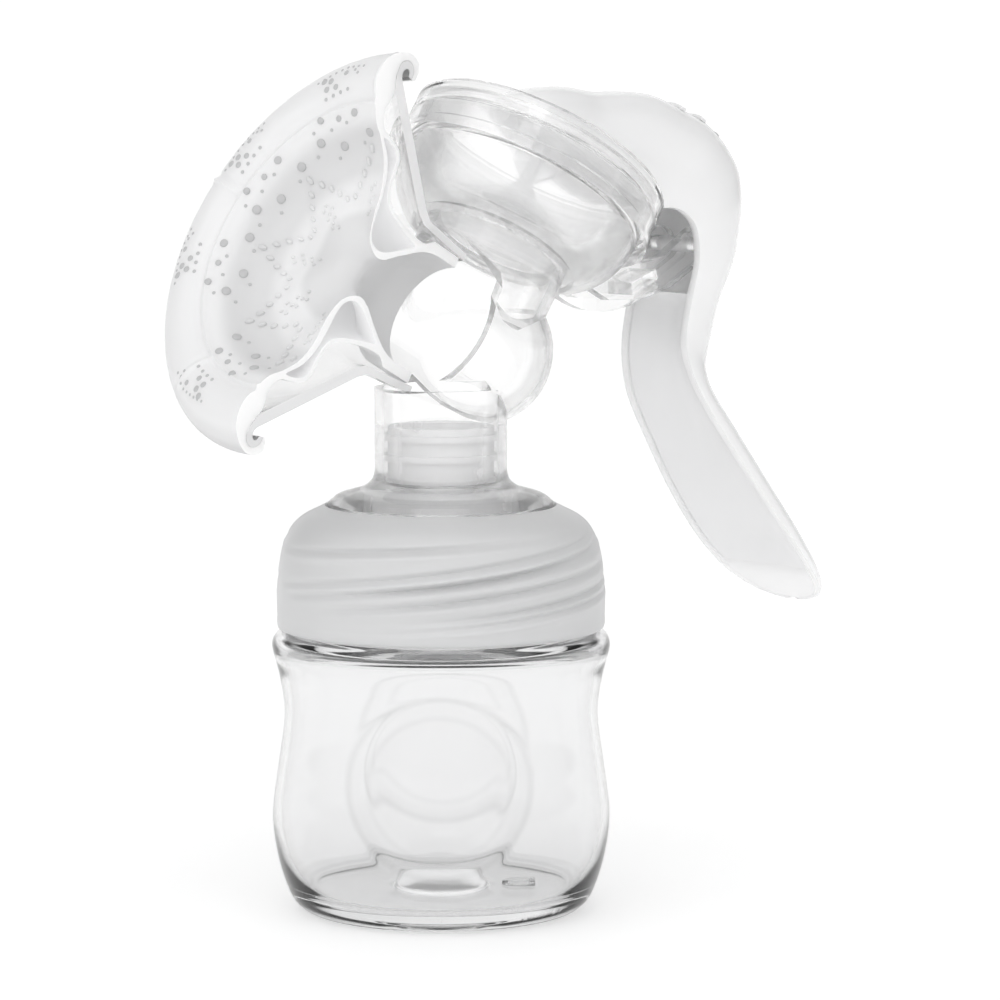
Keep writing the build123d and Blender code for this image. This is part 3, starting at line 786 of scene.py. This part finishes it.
CLAMP_HEIGHT = 21.4  # height of the rim that the chamber clamps
chamber_across = Vector((chamber_dir.z, 0, -chamber_dir.x))
diaphragm_top = curve(
    [(8.4, 0.01), (8.4, 4.0), (8.4, 7.4), (7.2, 10.2), (5.2, 13.2), (3.8, 15.4), (3.3, 17.6), (4.6, 19.9)]
    + [(8.0, 21.9), (12.2, 22.9), (19.4, 23.1)],
    5,
)
diaphragm_under = curve(
    [(19.0, 22.1), (12.4, 21.9), (8.4, 20.9), (5.7, 19.2), (4.5, 17.5), (4.9, 15.8)]
    + [(6.2, 13.6), (8.2, 10.4), (9.4, 7.8), (9.4, 4.0), (9.4, 0.01)],
    5,
)
diaphragm_loop = (
    diaphragm_top + [(19.4, 25.1), (CLAMP_HEIGHT, 25.1), (CLAMP_HEIGHT, 22.2)] + diaphragm_under
)
diaphragm_axes = anchored("diaphragm", chamber_dir, chamber_across, [diaphragm_loop])
verts, faces = lathe([diaphragm_loop], diaphragm_axes, 180)
diaphragm = build("diaphragm_skin", verts, faces, "pump_body", diaphragm_silicone, sharp=50)
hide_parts("diaphragm")
tuple(diaphragm_axes.at(CLAMP_HEIGHT, 0, 0))
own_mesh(diaphragm)

# ---- squeeze handle -----------------------------------------------------------------------------

# each station: inner edge, outer edge where the crown starts, crown's height and the handle's width
# over the head the two edges are (along the chamber's rim, up its axis) from the diaphragm's middle
head_stations = [
    ((-13.6, 24.9), (-13.6, 25.6), 0.4, 4.0),
    ((-13.0, 24.2), (-13.0, 26.4), 1.0, 8.6),
    ((-9.5, 23.6), (-9.5, 26.8), 4.6, 15.0),
    ((-3.0, 23.6), (-3.0, 28.2), 7.8, 18.4),
    ((4.0, 23.6), (4.0, 29.6), 9.8, 19.2),
    ((11.0, 23.6), (11.0, 33.0), 10.9, 19.6),
    ((18.0, 23.6), (18.0, 38.2), 9.4, 19.6),
    ((24.5, 25.0), (25.5, 42.2), 7.4, 19.6),
    ((30.0, 28.2), (33.5, 45.0), 6.0, 19.6),
    ((34.5, 28.8), (41.5, 43.2), 6.0, 19.6),
    ((37.8, 27.5), (45.6, 39.3), 6.0, 19.6),
    ((40.3, 24.8), (48.6, 34.0), 5.5, 19.6),
    ((42.2, 21.4), (50.8, 27.6), 5.0, 19.6),
]
# down the grip they are (x, z) in the model's frame
grip_stations = [
    ((59.2, 117.8), (67.9, 118.0), 4.5, 19.3),
    ((57.9, 110.2), (64.8, 108.0), 4.0, 19.5),
    ((58.9, 104.2), (63.7, 103.5), 3.8, 21.3),
    ((61.9, 97.4), (65.1, 98.2), 3.6, 24.0),
    ((68.6, 87.6), (71.5, 89.8), 3.0, 26.8),
    ((76.1, 77.5), (78.8, 79.7), 2.8, 29.6),
    ((84.3, 67.5), (86.7, 69.6), 2.5, 30.8),
    ((91.3, 60.0), (93.0, 61.7), 2.0, 28.5),
    ((96.0, 55.8), (97.1, 57.0), 1.4, 22.0),
    ((98.2, 53.9), (98.9, 54.6), 0.8, 13.0),
    ((99.0, 53.3), (99.3, 53.6), 0.3, 5.0),
]
FINE = 7  # sections from one station to the next
WALL = 1.8
ARCH_POINTS = 28


def from_chamber(along, up):
    """(x, z) in millimetres of a point given along the chamber's rim and up its axis."""
    p = diaphragm_axes.o + MM * (along * chamber_across + up * diaphragm_axes.u)
    return (p.x / MM, p.z / MM)


stations = [(*from_chamber(*a), *from_chamber(*b), crown, width) for a, b, crown, width in head_stations]
first_grip = len(stations)
stations += [(*a, *b, crown, width) for a, b, crown, width in grip_stations]
stations = curve(stations, FINE)
last = len(stations) - 1


def depth_of(station):
    """The handle's whole depth at a station, from its inner edge to the top of its crown."""
    return math.hypot(station[2] - station[0], station[3] - station[1]) + station[4]


def section(station, points):
    """Places (across, depth) points of a section; depth runs from the inner edge outwards."""
    ix, iz, ox, oz = station[:4]
    inner = Vector((ix, 0, iz))
    n = (Vector((ox, 0, oz)) - inner).normalized()
    return [MM * (inner + n * d + Vector((0, y, 0))) for y, d in points]


def arch(half, height, power):
    """Half a superellipse from one edge over the crown to the other."""
    out = []
    for k in range(ARCH_POINTS + 1):
        t = math.pi * k / ARCH_POINTS
        y = half * math.copysign(abs(math.cos(t)) ** (2 / power), math.cos(t))
        out.append((y, height * abs(math.sin(t)) ** (2 / power)))
    return out


shell_sections = []
for k, station in enumerate(stations):
    height = depth_of(station)
    half = station[5] / 2
    # the shell is hollow between its nose and its tip
    hollow = max(0.0, min(1.0, (k - 1.2 * FINE) / FINE, (last - 2.6 * FINE - k) / (1.5 * FINE)))
    hollow = hollow * hollow * (3 - 2 * hollow)
    wall = min(WALL, 0.45 * half)
    outer = arch(half, height, 2.45)
    inner = arch(half - wall, max((height - WALL) * hollow, 0.12), 3.0)
    edge = [(-half + 0.35 * wall, -0.22), (-half + 0.65 * wall, -0.22)]
    other_edge = [(half - 0.65 * wall, -0.22), (half - 0.35 * wall, -0.22)]
    shell_sections.append(section(station, outer + edge + inner[::-1] + other_edge))
verts, faces = loft(shell_sections)
handle = build("handle_moulding", verts, faces, "handle", white, sharp=55)
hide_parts("handle_shell")

PANEL_THICK = 0.9
PANEL_LIP = 0.5  # depth of the panel's long edges below the shell's
PANEL_DIP = 3.6  # depth of its middle
panel_sections = []
first_panel = int((first_grip - 0.25) * FINE)
last_panel = last - int(3.2 * FINE)
for k in range(first_panel, last_panel + 1):
    station = stations[k]
    half = station[5] / 2 - 1.95
    ends = min(1.0, (k - first_panel) / 2.0, (last_panel - k) / 5.0)
    dip = min(PANEL_DIP, depth_of(station) - WALL - 1.2) * (0.35 + 0.65 * ends)
    widths = [1 - 2 * j / 20 for j in range(21)]
    near = [(half * y, PANEL_LIP + (dip - PANEL_LIP) * (1 - y * y)) for y in widths]
    far = [(y, d + PANEL_THICK) for y, d in reversed(near)]
    panel_sections.append(section(station, near + far))
verts, faces = loft(panel_sections)
# the inner panel takes the darker, painted-shade copy of the white
cover = build("handle_inner_panel", verts, faces, "handle", white_inner_shaded, sharp=50)
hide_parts("handle_cover")

# ---- camera -------------------------------------------------------------------------------------

DISTANCE = 0.9
elevation = math.radians(6.3)
right = level_direction(FRONT_DEGREES)
ahead = Vector((-right.y * math.cos(elevation), right.x * math.cos(elevation), -math.sin(elevation)))
up = right.cross(ahead)
aim = base + 0.0117 * right + 0.081 * up
camera_data = bpy.data.cameras.new("camera")
camera_data.lens = 162.0
camera_data.sensor_width = 36.0
camera_data.clip_start = 0.05
camera_data.clip_end = 20.0
camera = bpy.data.objects.new("camera", camera_data)
bpy.context.scene.collection.objects.link(camera)
turn = Matrix((right, up, -ahead)).transposed().to_4x4()
camera.matrix_world = Matrix.Translation(aim - DISTANCE * ahead) @ turn
bpy.context.scene.camera = camera
bpy.context.scene.view_settings.view_transform = "Standard"

# ---- surrounding light --------------------------------------------------------------------------

# lit from the front; a bright field straight behind with grey round it draws the clear edges
world = bpy.data.worlds.new("studio")
world.use_nodes = True
bpy.context.scene.world = world
sky = world.node_tree.nodes
join = world.node_tree.links
direction = sky.new("ShaderNodeTexCoord")


def along(vector):
    """World socket giving how far a direction points along the vector, from 0 to 1."""
    dot = sky.new("ShaderNodeVectorMath")
    dot.operation = "DOT_PRODUCT"
    dot.inputs[1].default_value = vector
    join.new(direction.outputs["Generated"], dot.inputs[0])
    spread = sky.new("ShaderNodeMapRange")
    spread.inputs["From Min"].default_value = -1.0
    join.new(dot.outputs["Value"], spread.inputs["Value"])
    return spread.outputs["Result"]


def levels(source, stops):
    """World socket giving the grey that the stops assign to a value from 0 to 1."""
    band = sky.new("ShaderNodeValToRGB")
    set_ramp(band.color_ramp, stops)
    join.new(source, band.inputs["Fac"])
    return band.outputs["Color"]


depth = levels(
    along(ahead),
    [(0.0, 1.2), (0.3, 1.15), (0.5, 0.8), (0.62, 0.58), (0.84, 0.6), (0.92, 1.02), (1.0, 1.02)],
)
sides = levels(
    along(right),
    [(0.0, 1.0), (0.1, 0.8), (0.2, 0.9), (0.28, 1.12), (0.7, 0.96), (0.82, 0.6)]
    + [(0.92, 0.55), (1.0, 0.75)],
)
height = levels(along((0, 0, 1)), [(0.0, 0.9), (0.5, 0.95), (1.0, 1.12)])
depth_and_sides = mix_colours(world.node_tree, "MULTIPLY", depth, sides).outputs["Result"]
lighting = mix_colours(world.node_tree, "MULTIPLY", depth_and_sides, height).outputs["Result"]
# what the camera sees behind the object is plain white
path = sky.new("ShaderNodeLightPath")
pick = mix_colours(world.node_tree, "MIX", lighting, factor=path.outputs["Is Camera Ray"])
pick.inputs["B"].default_value = grey(1.1)
join.new(pick.outputs["Result"], sky["Background"].inputs["Color"])
sky["Background"].inputs["Strength"].default_value = 0.95

# ---- lamps and floor ----------------------------------------------------------------------------

lit_point = Vector((0, 0, 0.09))


def soft_light(name, place, size, power):
    """A round soft lamp that faces the object's middle."""
    data = bpy.data.lights.new(name, "AREA")
    data.shape = "DISK"
    data.size = size
    data.energy = power
    light = bpy.data.objects.new(name, data)
    bpy.context.scene.collection.objects.link(light)
    light.location = place
    light.rotation_mode = "QUATERNION"
    light.rotation_quaternion = (lit_point - Vector(place)).to_track_quat("-Z", "Y")


soft_light("key", (-0.9, -0.9, 1.1), 0.7, 1.5)
soft_light("fill", (1.0, -0.8, 0.7), 0.8, 0.6)

FLOOR_HALF = 6.0
FLOOR_DROP = -0.0002  # just under the bottle's base
floor_material = bpy.data.materials.new("pale_floor")
floor_material.use_nodes = True
floor_shader = floor_material.node_tree.nodes["Principled BSDF"]
floor_shader.inputs["Base Color"].default_value = grey(0.97)
floor_shader.inputs["Roughness"].default_value = 0.7
floor_shader.inputs["Emission Color"].default_value = grey(1)
floor_shader.inputs["Emission Strength"].default_value = 0.22
floor_mesh = bpy.data.meshes.new("floor")
corners = [(x * FLOOR_HALF, y * FLOOR_HALF, FLOOR_DROP) for x, y in ((-1, -1), (1, -1), (1, 1), (-1, 1))]
floor_mesh.from_pydata(corners, [], [(0, 1, 2, 3)])
floor_mesh.materials.append(floor_material)
floor = bpy.data.objects.new("floor", floor_mesh)
bpy.context.scene.collection.objects.link(floor)

# ---- scene update -------------------------------------------------------------------------------

bpy.context.view_layer.update()
